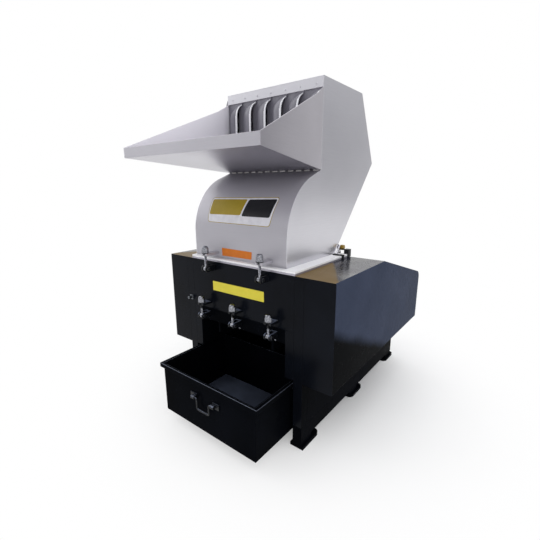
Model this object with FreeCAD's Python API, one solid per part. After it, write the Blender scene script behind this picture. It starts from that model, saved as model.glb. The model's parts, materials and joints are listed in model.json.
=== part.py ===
import FreeCAD, Part
import math
import os

# Plastics granulator with a stainless feed hopper, a painted body and a collecting drawer.
# Millimetres, +Z up, -Y towards the operator, +X to the operator's right.
# Lengths are measured from the body's front face, its middle plane and the floor.
# On export everything is moved so that the origin is the centre of the anchor holes.

# Body
body_top = 923.0
cabinet_width = 831.0
left_housing_width = 156.0
right_housing_width = 163.0
housing_bottom = 377.0
housing_edge_radius = 5.0
deck_margin_behind_chamber = 26.0
body_depth = 1310.0
rear_height = 720.0
rear_corner_radius = 55.0
wall_plate = 12.0
deck_plate_thickness = 12.0
rear_cover_thickness = 6.0
rear_panel_thickness = 6.0

# Base frame and feet
rail_height = 80.0
rail_clearance_to_floor = 45.0
post_width = 53.5
post_depth = 60.0
middle_rail_depth = 60.0
rear_rail_depth = 80.0
foot_length = 170.0
foot_width = 79.0
foot_thickness = 18.0
foot_corner_radius = 30.0
foot_side_overhang = 11.0
foot_riser_length = 100.0
front_foot_start = 0.0
middle_foot_start = 575.0
rear_foot_overhang = 35.0
rear_riser_inset = 25.0
anchor_hole_radius = 9.0
anchor_hole_inset = 35.0
rear_anchor_hole_inset = 20.0

# Cutting chamber
cheek_thickness = 52.0
chamber_depth = 475.0
chamber_front_thickness = 40.0
chamber_back_thickness = 40.0
cheek_bottom = 380.0
front_plate_bottom = 640.0
cradle_bar_height = 74.0
rotor_height = 700.0
cutting_radius = 190.0
rotor_drum_radius = 140.0
rotor_shaft_radius = 45.0
rotor_end_gap = 10.0
rotor_sides = 36
rotor_knife_gap = 1.5
knife_thickness = 24.0
knife_count = 3
knife_lead_angle = 20.0
screen_gap = 6.0
screen_thickness = 6.0
screen_seat_gap = 0.3
screen_end_gap = 1.0
cradle_rib_thickness = 15.0
cradle_rib_inset = 110.0
cradle_rib_depth = 18.0

# Hopper
hopper_offset = -31.5
hopper_overlap = 19.0
hopper_front = 30.0
hopper_sheet = 4.0
flange_side_overlap = 3.0
flange_back_margin = 30.0
chamber_flange_thickness = 10.0
hopper_flange_thickness = 10.0
hopper_straight_height = 134.0
hopper_curve_radius = 320.0
hopper_curve_end_angle = 69.5
fold_depth = 333.0
mouth_height = 394.0
roof_depth = 452.0
back_fold_depth = 992.0
back_fold_drop = 386.0
header_height = 52.0
tray_flare = 119.5
tray_reach = 636.0
tray_rise = 61.0
tray_lip_height = 49.0
wing_shoulder = 70.0
wing_shoulder_drop = 42.0
curtain_strip_count = 6
curtain_strip_gap = 8.0
curtain_edge_gap = 5.0
curtain_thickness = 4.0
curtain_to_fold = 28.0
curtain_seat_gap = 0.3

# Clip over the rear right corner of the flanges
clip_width = 22.0
clip_thickness = 6.0
clip_to_hopper = 8.0
clip_from_flange_end = 50.0

# Swing bolts
bolt_stand_off = 50.0
bolt_shank_radius = 7.0
bolt_eye_radius = 15.0
bolt_eye_width = 22.0
bolt_sides = 16
nut_sides = 6
flat_to_front = 0.5
bolt_pin_radius = 7.0
pin_clearance = 0.3
eye_side_clearance = 0.3
nut_radius = 20.0
nut_height = 40.0
nut_crown_height = 9.0
nut_crown_radius = 11.0
nut_gap = 0.8
lug_thickness = 14.0
lug_width = 46.0
lug_front_margin = 10.0
slot_clearance = 1.5
bracket_cheek = 8.0
bracket_back_thickness = 12.0
bracket_nose = 17.0
bracket_half_height = 17.0
bracket_chamfer = 9.0
pin_head_radius = 11.0
pin_head_thickness = 5.0
upper_bolt_spacing = 386.0
upper_pin_drop = 33.0
upper_lug_rise = 54.0
lower_bolt_inset = 65.0
lower_pin_drop = 36.0
lower_lug_rise = 42.0

# Rear hinges of the hopper
hinge_block_width = 30.0
hinge_block_depth = 33.0
hinge_block_height = 44.0
hinge_block_gap = 15.0
hinge_base_thickness = 12.0
hinge_axis_height = 52.0
hinge_axis_setback = 11.0
hinge_cheek_thickness = 10.0
hinge_pin_radius = 9.0
hinge_head_radius = 17.0
hinge_head_width = 19.0
hinge_head_clearance = 6.0
hinge_eye_radius = 15.0
hinge_eye_sides = 16
hinge_arm_thickness = 10.0
hinge_arm_clearance = 5.0

# Small knob beside the front plate
knob_side_offset = 26.0
knob_height = 677.0
knob_radius = 9.0
knob_sides = 16
knob_length = 28.0
knob_collar_size = 28.0
knob_collar_length = 6.0

# Drawer, drawn out as it stands at rest
drawer_drawn_length = 270.0
rim_to_bay = 4.0
drawer_length = 482.0
drawer_bottom = 70.0
drawer_top = 364.0
drawer_sheet = 4.0
drawer_front_inset = 1.0
rim_side_overhang = 20.0
rim_front_overhang = 12.0
rim_back_overhang = 12.0
rim_height = 25.0
rim_sheet = 4.0
runner_thickness = 8.0
runner_gap = 0.3
runner_to_drawer = 6.0
runner_front = 4.0
handle_height = 263.0
handle_pad_spacing = 166.0
handle_pad_length = 45.0
handle_pad_height = 30.0
handle_pad_thickness = 6.0
handle_boss_radius = 10.0
handle_boss_sides = 16
handle_boss_length = 24.0
handle_boss_floor = 4.0
handle_end_gap = 1.0
handle_neck_height = 14.0
handle_stand_off = 17.0
handle_rod_radius = 5.0
handle_rod_sides = 12
mitred_corners = 1
handle_leg_spacing = 90.0
handle_drop = 60.0
handle_bend_radius = 12.0
handle_clearance = 0.3

# Edges are found by their place, to within this
match_tolerance = 0.1

# Degrees
full_turn = 360.0

# Derived sizes
cabinet_side = cabinet_width / 2
inner_side = cabinet_side - post_width
chamber_side = inner_side - cheek_thickness
chamber_width = 2 * chamber_side
chamber_back = chamber_front_thickness + chamber_depth
ridge_depth = chamber_back + chamber_back_thickness + deck_margin_behind_chamber
flange_width = 2 * (inner_side + flange_side_overlap)
flange_depth = chamber_back + flange_back_margin
back_foot_depth = chamber_back
rail_bottom = rail_clearance_to_floor
rail_top = rail_bottom + rail_height
deck_underside = body_top - deck_plate_thickness
rotor_depth = chamber_front_thickness + chamber_depth / 2
screen_inner_radius = cutting_radius + screen_gap
screen_outer_radius = screen_inner_radius + screen_thickness
hopper_width = chamber_width + 2 * hopper_overlap
hopper_left = hopper_offset - hopper_width / 2
hopper_right = hopper_offset + hopper_width / 2
hopper_base = body_top + chamber_flange_thickness + hopper_flange_thickness
fold_inner_depth = fold_depth + hopper_sheet
rim_side = inner_side - rim_to_bay
drawer_side = rim_side - rim_side_overhang
drawer_front = drawer_front_inset - drawer_drawn_length
drawer_back = drawer_front + drawer_length
front_anchor = front_foot_start + foot_length - anchor_hole_inset
middle_anchor = middle_foot_start + foot_length - anchor_hole_inset
rear_foot_start = body_depth + rear_foot_overhang - foot_length
rear_anchor = rear_foot_start + foot_length - rear_anchor_hole_inset
anchor_side = cabinet_side + foot_side_overhang - foot_width / 2
origin = FreeCAD.Vector(0, -(front_anchor + rear_anchor) / 2, 0)

# Curve of the hopper's front, and the heights that follow from its fold
curve_start_height = hopper_base + hopper_straight_height
curve_centre_depth = hopper_front + hopper_curve_radius
end_angle = math.radians(hopper_curve_end_angle)


def curve_point(radius, angle):
    return (curve_centre_depth - radius * math.cos(angle), curve_start_height + radius * math.sin(angle))


def fold_height_at(depth, radius):
    """Height of the tangent that follows the arc, at the given depth."""
    end_y, end_z = curve_point(radius, end_angle)
    return end_z + (depth - end_y) / math.tan(end_angle)


fold_height = fold_height_at(fold_depth, hopper_curve_radius)
header_bottom = fold_height + mouth_height
hopper_top = header_bottom + header_height
back_fold_height = hopper_top - back_fold_drop
tray_front_height = fold_height + tray_rise
curtain_bottom_height = fold_height + curtain_to_fold
roof_back = fold_depth + roof_depth

os.makedirs("parts", exist_ok=True)


def box(x0, x1, y0, y1, z0, z1):
    return Part.makeBox(x1 - x0, y1 - y0, z1 - z0, FreeCAD.Vector(x0, y0, z0))


def rod(centre, axis, radius, length):
    return Part.makeCylinder(radius, length, FreeCAD.Vector(*centre), FreeCAD.Vector(*axis))


def rod_x(x0, x1, y, z, radius):
    return rod((x0, y, z), (1, 0, 0), radius, x1 - x0)


def corners_of(radius, sides, turn=0.0):
    """Corners of a regular polygon about its middle; turn is in steps from corner to corner."""
    step = 2 * math.pi / sides
    angles = [(index + turn) * step for index in range(sides)]
    return [(radius * math.cos(angle), radius * math.sin(angle)) for angle in angles]


def closed(corners):
    return Part.makePolygon(corners + corners[:1])


def bar_x(x0, x1, y, z, radius, sides=nut_sides):
    """Bar along X with flat sides; radius is from its middle to a corner."""
    return side_polygon([(y + a, z + b) for a, b in corners_of(radius, sides)], x0, x1)


def side_profile(edges, x0, x1):
    """Solid between two X values from a closed outline in the YZ plane."""
    face = Part.Face(Part.Wire(edges))
    face.translate(FreeCAD.Vector(x0, 0, 0))
    return face.extrude(FreeCAD.Vector(x1 - x0, 0, 0))


def outline(points):
    """Straight edges that close a list of (y, z) points."""
    ends = points[1:] + points[:1]
    return [Part.LineSegment(yz(*a), yz(*b)).toShape() for a, b in zip(points, ends)]


def yz(y, z):
    return FreeCAD.Vector(0, y, z)


def side_polygon(points, x0, x1):
    return side_profile(outline(points), x0, x1)


def mirrored(shape):
    return shape.mirror(FreeCAD.Vector(0, 0, 0), FreeCAD.Vector(1, 0, 0))


def rounded(shape, radius, chosen):
    """Fillet the edges for which chosen(edge) is true."""
    edges = [edge for edge in shape.Edges if chosen(edge)]
    return shape.makeFillet(radius, edges)


def upright(edge):
    start, end = edge.Vertexes[0].Point, edge.Vertexes[-1].Point
    return near(start.x, end.x) and near(start.y, end.y) and not near(start.z, end.z)


def near(a, b):
    return abs(a - b) < match_tolerance


def save(name, *solids):
    shape = solids[0] if len(solids) == 1 else Part.makeCompound(list(solids))
    shape = shape.copy()
    shape.translate(origin)
    shape.exportStep("parts/" + name + ".step")


# Base frame: two side rails joined by a middle and a rear cross rail
def base_frame():
    rails = [box(inner_side, cabinet_side, 0, body_depth, rail_bottom, rail_top)]
    rails.append(mirrored(rails[0]))
    rails.append(box(-inner_side, inner_side, chamber_back, chamber_back + middle_rail_depth,
                     rail_bottom, rail_top))
    rails.append(box(-inner_side, inner_side, body_depth - rear_rail_depth, body_depth,
                     rail_bottom, rail_top))
    return rails[0].multiFuse(rails[1:]).removeSplitter()


# Foot: a plate with one anchor hole and a riser that carries the rail
def foot(start, riser_start, hole_depth, round_front):
    inner = anchor_side - foot_width / 2
    outer = anchor_side + foot_width / 2
    plate = box(inner, outer, start, start + foot_length, 0, foot_thickness)

    def outer_corner(edge):
        point = edge.CenterOfMass
        return upright(edge) and point.x > anchor_side and (round_front or not near(point.y, start))

    plate = rounded(plate, foot_corner_radius, outer_corner)
    plate = plate.cut(rod((anchor_side, hole_depth, 0), (0, 0, 1), anchor_hole_radius, foot_thickness))
    riser = box(inner_side, cabinet_side, riser_start, riser_start + foot_riser_length,
                foot_thickness, rail_bottom)
    return plate.fuse(riser)


def feet():
    rear_riser = rear_foot_start + rear_riser_inset
    return [
        foot(front_foot_start, front_foot_start, front_anchor, False),
        foot(middle_foot_start, middle_foot_start, middle_anchor, True),
        foot(rear_foot_start, rear_riser, rear_anchor, True),
    ]


save("base_frame", base_frame())
right_feet = feet()
save("right_feet", *right_feet)
save("left_feet", *[mirrored(solid) for solid in right_feet])

# Front posts
right_post = box(inner_side, cabinet_side, 0, post_depth, rail_top, deck_underside)
save("right_front_post", right_post)
save("left_front_post", mirrored(right_post))

# Side walls of the cabinet, behind the posts and under the deck and the rear cover
cover_underside_front = body_top - rear_cover_thickness
cover_underside_rear = rear_height - rear_cover_thickness
right_wall = side_polygon([
    (post_depth, rail_top),
    (body_depth, rail_top),
    (body_depth, cover_underside_rear),
    (ridge_depth, cover_underside_front),
    (ridge_depth, deck_underside),
    (post_depth, deck_underside),
], cabinet_side - wall_plate, cabinet_side)
save("right_side_wall", right_wall)
save("left_side_wall", mirrored(right_wall))

# Chamber: thick side cheeks, front plate and back wall
right_cheek = box(chamber_side, inner_side, 0, chamber_back, cheek_bottom, deck_underside)
right_cheek = right_cheek.cut(box(chamber_side, inner_side, 0, chamber_front_thickness,
                                  front_plate_bottom, deck_underside))
save("right_chamber_cheek", right_cheek)
save("left_chamber_cheek", mirrored(right_cheek))
save("front_plate", box(-inner_side, inner_side, 0, chamber_front_thickness,
                        front_plate_bottom, deck_underside))
save("chamber_back_wall", box(-inner_side, inner_side, chamber_back,
                              chamber_back + chamber_back_thickness, rail_top, deck_underside))

# Deck round the chamber mouth, then the sloping rear cover and the rear panel
throat = box(-chamber_side, chamber_side, chamber_front_thickness, chamber_back,
             deck_underside, hopper_base)
deck = box(-cabinet_side, cabinet_side, 0, ridge_depth, deck_underside, body_top)
save("deck_plate", deck.cut(throat))
save("rear_cover", side_polygon([
    (ridge_depth, cover_underside_front),
    (body_depth, cover_underside_rear),
    (body_depth, rear_height),
    (ridge_depth, body_top),
], -cabinet_side, cabinet_side))
save("rear_panel", box(-cabinet_side + wall_plate, cabinet_side - wall_plate,
                       body_depth - rear_panel_thickness, body_depth,
                       rail_top, cover_underside_rear))


# Housings of the flywheel and the belt drive
def housing(width):
    solid = side_polygon([
        (0, housing_bottom),
        (body_depth, housing_bottom),
        (body_depth, rear_height),
        (ridge_depth, body_top),
        (0, body_top),
    ], cabinet_side, cabinet_side + width)

    def rear_corner(edge):
        point = edge.CenterOfMass
        return near(point.y, body_depth) and near(point.z, rear_height)

    solid = rounded(solid, rear_corner_radius, rear_corner)
    outer = cabinet_side + width
    return rounded(solid, housing_edge_radius, lambda edge: near(edge.CenterOfMass.x, outer))


save("right_drive_housing", housing(right_housing_width))
save("left_flywheel_housing", mirrored(housing(left_housing_width)))


# Screen cradle: front bar and two ribs whose hollow carries the curved screen
def screen_cradle():
    bar = box(-chamber_side, chamber_side, 0, chamber_front_thickness,
              front_plate_bottom - cradle_bar_height, front_plate_bottom)
    rib_bottom = rotor_height - screen_outer_radius - cradle_rib_depth
    solids = [bar]
    for centre in (cradle_rib_inset - chamber_side, chamber_side - cradle_rib_inset):
        x0 = centre - cradle_rib_thickness / 2
        x1 = centre + cradle_rib_thickness / 2
        rib = box(x0, x1, chamber_front_thickness, chamber_back, rib_bottom, rotor_height)
        seat = rod_x(x0, x1, rotor_depth, rotor_height, screen_outer_radius + screen_seat_gap)
        solids.append(rib.cut(seat))
    return solids[0].multiFuse(solids[1:]).removeSplitter()


def screen():
    x0 = -chamber_side + screen_end_gap
    x1 = chamber_side - screen_end_gap
    tube = rod_x(x0, x1, rotor_depth, rotor_height, screen_outer_radius)
    tube = tube.cut(rod_x(x0, x1, rotor_depth, rotor_height, screen_inner_radius))
    upper_half = box(x0, x1, rotor_depth - screen_outer_radius, rotor_depth + screen_outer_radius,
                     rotor_height, rotor_height + screen_outer_radius)
    return tube.cut(upper_half)


def rotor():
    x0 = -chamber_side
    x1 = chamber_side
    solid = bar_x(x0, x1, rotor_depth, rotor_height, rotor_shaft_radius, rotor_sides)
    x0 += rotor_end_gap
    x1 -= rotor_end_gap
    solid = solid.fuse(bar_x(x0, x1, rotor_depth, rotor_height, rotor_drum_radius, rotor_sides))
    knife_root = rotor_height + rotor_drum_radius / 2
    knife_tip = rotor_height + cutting_radius - rotor_knife_gap
    for index in range(knife_count):
        knife = box(x0, x1, rotor_depth, rotor_depth + knife_thickness, knife_root, knife_tip)
        angle = knife_lead_angle + index * full_turn / knife_count
        knife.rotate(FreeCAD.Vector(0, rotor_depth, rotor_height), FreeCAD.Vector(1, 0, 0), angle)
        solid = solid.fuse(knife)
    return solid.removeSplitter()


save("screen_cradle", screen_cradle())
save("screen", screen())
save("rotor", rotor())

# Flanges between the chamber and the hopper
mouth = box(max(-chamber_side, hopper_left + hopper_sheet), min(chamber_side, hopper_right - hopper_sheet),
            chamber_front_thickness, chamber_back, body_top, hopper_base)
flange_side = flange_width / 2
lower_flange = box(-flange_side, flange_side, 0, flange_depth, body_top, body_top + chamber_flange_thickness)
upper_flange = box(-flange_side, flange_side, 0, flange_depth,
                   body_top + chamber_flange_thickness, hopper_base)
save("chamber_flange", lower_flange.cut(mouth))
save("hopper_flange", upper_flange.cut(mouth))

# Curved front of the hopper: straight, then an arc, then a tangent to the fold
def front_curve(offset, depth):
    """Edges of the front line, moved inwards by offset, from its foot up to the fold."""
    radius = hopper_curve_radius - offset
    foot_point = (hopper_front + offset, hopper_base)
    start = curve_point(radius, 0)
    middle = curve_point(radius, end_angle / 2)
    end = curve_point(radius, end_angle)
    fold = (depth, fold_height_at(depth, radius))
    return [
        Part.LineSegment(yz(*foot_point), yz(*start)).toShape(),
        Part.Arc(yz(*start), yz(*middle), yz(*end)).toShape(),
        Part.LineSegment(yz(*end), yz(*fold)).toShape(),
    ], foot_point, fold


def hopper_front_sheet():
    outer, outer_foot, outer_fold = front_curve(0, fold_depth)
    inner, inner_foot, inner_fold = front_curve(hopper_sheet, fold_depth)
    edges = outer + [Part.LineSegment(yz(*outer_fold), yz(*inner_fold)).toShape()]
    edges += inner[::-1] + [Part.LineSegment(yz(*inner_foot), yz(*outer_foot)).toShape()]
    wire = Part.Wire(Part.__sortEdges__(edges))
    face = Part.Face(wire)
    face.translate(FreeCAD.Vector(hopper_left + hopper_sheet, 0, 0))
    return face.extrude(FreeCAD.Vector(hopper_width - 2 * hopper_sheet, 0, 0))


def hopper_side():
    """Flat side: curved front edge, upright edge at the fold, level roof, back with one bend."""
    front_edges, front_foot, front_fold = front_curve(0, fold_depth)
    corners = [
        front_fold,
        (fold_depth, hopper_top),
        (roof_back, hopper_top),
        (back_fold_depth, back_fold_height),
        (back_foot_depth, hopper_base),
        front_foot,
    ]
    edges = front_edges
    for a, b in zip(corners[:-1], corners[1:]):
        edges.append(Part.LineSegment(yz(*a), yz(*b)).toShape())
    face = Part.Face(Part.Wire(edges))
    face.translate(FreeCAD.Vector(hopper_left, 0, 0))
    return face.extrude(FreeCAD.Vector(hopper_sheet, 0, 0))


def inner_offset(point, toward, distance):
    """Point moved by distance along the unit vector (y, z)."""
    return (point[0] + toward[0] * distance, point[1] + toward[1] * distance)


def hopper_back_sheet():
    """Back of the hopper: one sheet bent at the back fold, inside the outline of the sides."""
    slope = (back_fold_depth - roof_back) / (hopper_top - back_fold_height)
    upper_top = (roof_back + hopper_sheet * slope, hopper_top - hopper_sheet)
    bend = (back_fold_depth, back_fold_height)
    foot_point = (back_foot_depth, hopper_base)
    upper_length = math.hypot(bend[0] - upper_top[0], bend[1] - upper_top[1])
    upper_normal = ((bend[1] - upper_top[1]) / upper_length, -(bend[0] - upper_top[0]) / upper_length)
    lower_length = math.hypot(bend[0] - foot_point[0], bend[1] - foot_point[1])
    lower_normal = (-(bend[1] - foot_point[1]) / lower_length, (bend[0] - foot_point[0]) / lower_length)
    half = ((upper_normal[0] + lower_normal[0]) / 2, (upper_normal[1] + lower_normal[1]) / 2)
    scale = hopper_sheet / (half[0] ** 2 + half[1] ** 2)
    inner_bend = inner_offset(bend, half, scale)
    inner_top = (upper_top[0] + hopper_sheet / upper_normal[0], upper_top[1])
    inner_foot = (foot_point[0] + hopper_sheet / lower_normal[0], foot_point[1])
    return side_polygon([upper_top, bend, foot_point, inner_foot, inner_bend, inner_top],
                        hopper_left + hopper_sheet, hopper_right - hopper_sheet)


left_side = hopper_side()
right_side = left_side.copy()
right_side.translate(FreeCAD.Vector(hopper_width - hopper_sheet, 0, 0))
save("hopper_left_side", left_side)
save("hopper_right_side", right_side)
save("hopper_front", hopper_front_sheet())
save("hopper_back", hopper_back_sheet())
save("hopper_roof", box(hopper_left + hopper_sheet, hopper_right - hopper_sheet, fold_depth, roof_back,
                        hopper_top - hopper_sheet, hopper_top))
save("hopper_header", box(hopper_left + hopper_sheet, hopper_right - hopper_sheet,
                          fold_depth, fold_inner_depth,
                          header_bottom, hopper_top - hopper_sheet))


# Feed tray: sloping floor with a turned-up lip, between two splayed wings
tray_front = fold_depth - tray_reach
tray_lip_top = tray_front_height + tray_lip_height
tray_left = hopper_left - tray_flare
tray_right = hopper_right + tray_flare


def tray():
    """Trapezoid floor between the fold and the lip, and the upright lip."""
    profile = [
        (fold_depth, fold_height),
        (tray_front, tray_front_height),
        (tray_front, tray_lip_top),
        (tray_front + hopper_sheet, tray_lip_top),
        (tray_front + hopper_sheet, tray_front_height + hopper_sheet),
        (fold_depth, fold_height + hopper_sheet),
    ]
    blank = side_polygon(profile, tray_left, tray_right)
    inner_left = hopper_left + hopper_sheet
    inner_right = hopper_right - hopper_sheet
    plan = Part.makePolygon([
        FreeCAD.Vector(inner_left, fold_depth, 0),
        FreeCAD.Vector(inner_right, fold_depth, 0),
        FreeCAD.Vector(tray_right - hopper_sheet, tray_front, 0),
        FreeCAD.Vector(tray_left + hopper_sheet, tray_front, 0),
        FreeCAD.Vector(inner_left, fold_depth, 0),
    ])
    column = Part.Face(plan).extrude(FreeCAD.Vector(0, 0, hopper_top))
    return blank.common(column)


def wing():
    """Right wing: an upright sheet, splayed in plan, with a sloping top edge."""
    wing_top = header_bottom
    blank = side_polygon([
        (fold_depth, fold_height),
        (tray_front, tray_front_height),
        (tray_front, tray_lip_top),
        (fold_depth - wing_shoulder, wing_top - wing_shoulder_drop),
        (fold_depth, wing_top),
    ], hopper_offset, tray_right)
    plan = Part.makePolygon([
        FreeCAD.Vector(hopper_right - hopper_sheet, fold_depth, 0),
        FreeCAD.Vector(hopper_right, fold_depth, 0),
        FreeCAD.Vector(tray_right, tray_front, 0),
        FreeCAD.Vector(tray_right - hopper_sheet, tray_front, 0),
        FreeCAD.Vector(hopper_right - hopper_sheet, fold_depth, 0),
    ])
    column = Part.Face(plan).extrude(FreeCAD.Vector(0, 0, hopper_top))
    return blank.common(column)


right_wing = wing()
left_wing = right_wing.mirror(FreeCAD.Vector(hopper_offset, 0, 0), FreeCAD.Vector(1, 0, 0))
save("feed_tray", tray())
save("tray_right_wing", right_wing)
save("tray_left_wing", left_wing)


# Curtain strips that hang behind the header
def curtain_strips():
    first = hopper_left + hopper_sheet + curtain_edge_gap
    free_width = hopper_width - 2 * (hopper_sheet + curtain_edge_gap)
    strip_width = (free_width - (curtain_strip_count - 1) * curtain_strip_gap) / curtain_strip_count
    y0 = fold_inner_depth + curtain_seat_gap
    strips = []
    for index in range(curtain_strip_count):
        x0 = first + index * (strip_width + curtain_strip_gap)
        strips.append(box(x0, x0 + strip_width, y0, y0 + curtain_thickness, curtain_bottom_height,
                          hopper_top - hopper_sheet - curtain_seat_gap))
    return strips


save("curtain_strips", *curtain_strips())


# Slotted lug: a plate whose slot is open to the front, round the shank of a swing bolt
def lug(x, back, top):
    front = -bolt_stand_off - lug_front_margin
    plate = box(x - lug_width / 2, x + lug_width / 2, front, back, top - lug_thickness, top)
    half_slot = bolt_shank_radius + slot_clearance
    slot = box(x - half_slot, x + half_slot, front, -bolt_stand_off, top - lug_thickness, top)
    slot_end = rod((x, -bolt_stand_off, top - lug_thickness), (0, 0, 1), half_slot, lug_thickness)
    return plate.cut(slot.fuse(slot_end))


# Clevis bracket on the face that carries a swing bolt's pin
def bracket(x, pin_height):
    inner = bolt_eye_width / 2 + eye_side_clearance
    outer = inner + bracket_cheek
    front = -bolt_stand_off - bracket_nose
    bottom = pin_height - bracket_half_height
    top = pin_height + bracket_half_height
    cheek = [
        (-bracket_back_thickness, bottom),
        (-bracket_back_thickness, top),
        (front + bracket_chamfer, top),
        (front, top - bracket_chamfer),
        (front, bottom + bracket_chamfer),
        (front + bracket_chamfer, bottom),
    ]
    solids = [box(x - outer, x + outer, -bracket_back_thickness, 0, bottom, top)]
    for x0 in (x - outer, x + inner):
        solids.append(side_polygon(cheek, x0, x0 + bracket_cheek))
    solid = solids[0].multiFuse(solids[1:]).removeSplitter()
    return solid.cut(rod_x(x - outer, x + outer, -bolt_stand_off, pin_height, bolt_pin_radius))


# Pin of a swing bolt: a plain shank between two hexagon heads
def pin(x, pin_height):
    outer = bolt_eye_width / 2 + eye_side_clearance + bracket_cheek
    y = -bolt_stand_off
    shank = rod_x(x - outer, x + outer, y, pin_height, bolt_pin_radius)
    left_head = bar_x(x - outer - pin_head_thickness, x - outer, y, pin_height, pin_head_radius)
    right_head = bar_x(x + outer, x + outer + pin_head_thickness, y, pin_height, pin_head_radius)
    return shank.multiFuse([left_head, right_head])


# Swing bolt: eye, shank and hexagon cap nut with a tapered crown
def swing_bolt(x, pin_height, lug_top):
    y = -bolt_stand_off
    nut_bottom = lug_top + nut_gap
    crown_bottom = nut_bottom + nut_height - nut_crown_height
    half_eye = bolt_eye_width / 2

    def ring(z, radius, sides=nut_sides):
        return closed([FreeCAD.Vector(x + a, y + b, z) for a, b in corners_of(radius, sides, flat_to_front)])

    def bar(z0, z1, radius, sides=nut_sides):
        return Part.Face(ring(z0, radius, sides)).extrude(FreeCAD.Vector(0, 0, z1 - z0))

    eye = bar_x(x - half_eye, x + half_eye, y, pin_height, bolt_eye_radius, bolt_sides)
    shank = bar(pin_height, nut_bottom, bolt_shank_radius, bolt_sides)
    nut = bar(nut_bottom, crown_bottom, nut_radius)
    crown = Part.makeLoft([ring(crown_bottom, nut_radius),
                           ring(crown_bottom + nut_crown_height, nut_crown_radius)], True, True)
    solid = eye.multiFuse([shank, nut, crown])
    bore = rod_x(x - half_eye, x + half_eye, y, pin_height, bolt_pin_radius + pin_clearance)
    return solid.cut(bore)


upper_pin_height = body_top - upper_pin_drop
upper_lug_top = body_top + upper_lug_rise
lower_pin_height = front_plate_bottom - lower_pin_drop
lower_lug_top = front_plate_bottom + lower_lug_rise
upper_bolts = [-upper_bolt_spacing / 2, upper_bolt_spacing / 2]
lower_bolts = [lower_bolt_inset - chamber_side, 0.0, chamber_side - lower_bolt_inset]
save("hopper_lugs", *[lug(x, hopper_front, upper_lug_top) for x in upper_bolts])
save("front_plate_ears", *[lug(x, 0, lower_lug_top) for x in lower_bolts])
save("upper_bolt_brackets", *[bracket(x, upper_pin_height) for x in upper_bolts])
save("cradle_bolt_brackets", *[bracket(x, lower_pin_height) for x in lower_bolts])
save("upper_bolt_pins", *[pin(x, upper_pin_height) for x in upper_bolts])
save("cradle_bolt_pins", *[pin(x, lower_pin_height) for x in lower_bolts])
for name, x in zip(("left", "right"), upper_bolts):
    save("upper_swing_bolt_" + name, swing_bolt(x, upper_pin_height, upper_lug_top))
for name, x in zip(("left", "middle", "right"), lower_bolts):
    save("cradle_swing_bolt_" + name, swing_bolt(x, lower_pin_height, lower_lug_top))

# Rear hinges: bracket on the deck, pin through its inner cheek and through the arm on the hopper flange
hinge_block_front = flange_depth + hinge_block_gap
hinge_block_back = hinge_block_front + hinge_block_depth
hinge_block_outer = flange_side
hinge_block_inner = hinge_block_outer - hinge_block_width
hinge_head_outer = hinge_block_inner - hinge_head_clearance
hinge_head_inner = hinge_head_outer - hinge_head_width
hinge_arm_inner = hinge_head_inner - hinge_arm_thickness
hinge_cheek_inner = hinge_arm_inner - hinge_cheek_thickness
hinge_axis_depth = hinge_block_front + hinge_axis_setback
hinge_axis_z = body_top + hinge_axis_height


def hinge_bracket():
    """Base plate with the stop block at its outer end and the cheek that carries the pin at its inner end."""
    base = box(hinge_cheek_inner, hinge_block_outer, hinge_block_front, hinge_block_back,
               body_top, body_top + hinge_base_thickness)
    block = box(hinge_block_inner, hinge_block_outer, hinge_block_front, hinge_block_back,
                body_top, body_top + hinge_block_height)
    cheek = side_polygon([
        (hinge_block_front, body_top),
        (hinge_block_back, body_top),
        (hinge_axis_depth + hinge_eye_radius, hinge_axis_z),
        (hinge_axis_depth, hinge_axis_z),
    ], hinge_cheek_inner, hinge_arm_inner)
    eye = bar_x(hinge_cheek_inner, hinge_arm_inner, hinge_axis_depth, hinge_axis_z, hinge_eye_radius,
                hinge_eye_sides)
    solid = base.multiFuse([block, cheek, eye]).removeSplitter()
    bore = rod_x(hinge_cheek_inner, hinge_arm_inner, hinge_axis_depth, hinge_axis_z, hinge_pin_radius)
    return solid.cut(bore)


def hinge_pin():
    shaft = rod_x(hinge_cheek_inner, hinge_head_inner, hinge_axis_depth, hinge_axis_z, hinge_pin_radius)
    head = bar_x(hinge_head_inner, hinge_head_outer, hinge_axis_depth, hinge_axis_z, hinge_head_radius)
    return shaft.fuse(head)


def hinge_arm():
    """Plate on edge behind the hopper's sloping back, from the flange to the pin."""
    radius = hinge_eye_radius
    rise = hinge_axis_z + radius - hopper_base
    lean = rise * (back_fold_depth - back_foot_depth) / (back_fold_height - hopper_base)
    toe = back_foot_depth + hinge_arm_clearance
    plate = side_polygon([
        (toe, hopper_base),
        (flange_depth, hopper_base),
        (hinge_axis_depth, hinge_axis_z - radius),
        (hinge_axis_depth, hinge_axis_z + radius),
        (toe + lean, hopper_base + rise),
    ], hinge_arm_inner, hinge_head_inner)
    plate = plate.fuse(bar_x(hinge_arm_inner, hinge_head_inner, hinge_axis_depth, hinge_axis_z, radius,
                             hinge_eye_sides))
    bore = rod_x(hinge_arm_inner, hinge_head_inner, hinge_axis_depth, hinge_axis_z, hinge_pin_radius)
    return plate.cut(bore)


for name, make in (("hinge_blocks", hinge_bracket), ("hinge_pins", hinge_pin), ("hinge_arms", hinge_arm)):
    solid = make()
    save(name, solid, mirrored(solid))

# Clip: a bent strap that lies on the hopper flange and reaches down its side to the deck
clip_end = flange_depth - clip_from_flange_end
clip_strap = box(hopper_right + clip_to_hopper, flange_side + clip_thickness,
                 clip_end - clip_width, clip_end, hopper_base, hopper_base + clip_thickness)
clip_leg = box(flange_side, flange_side + clip_thickness, clip_end - clip_width, clip_end,
               body_top, hopper_base)
save("flange_clip", clip_strap.fuse(clip_leg).removeSplitter())

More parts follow.
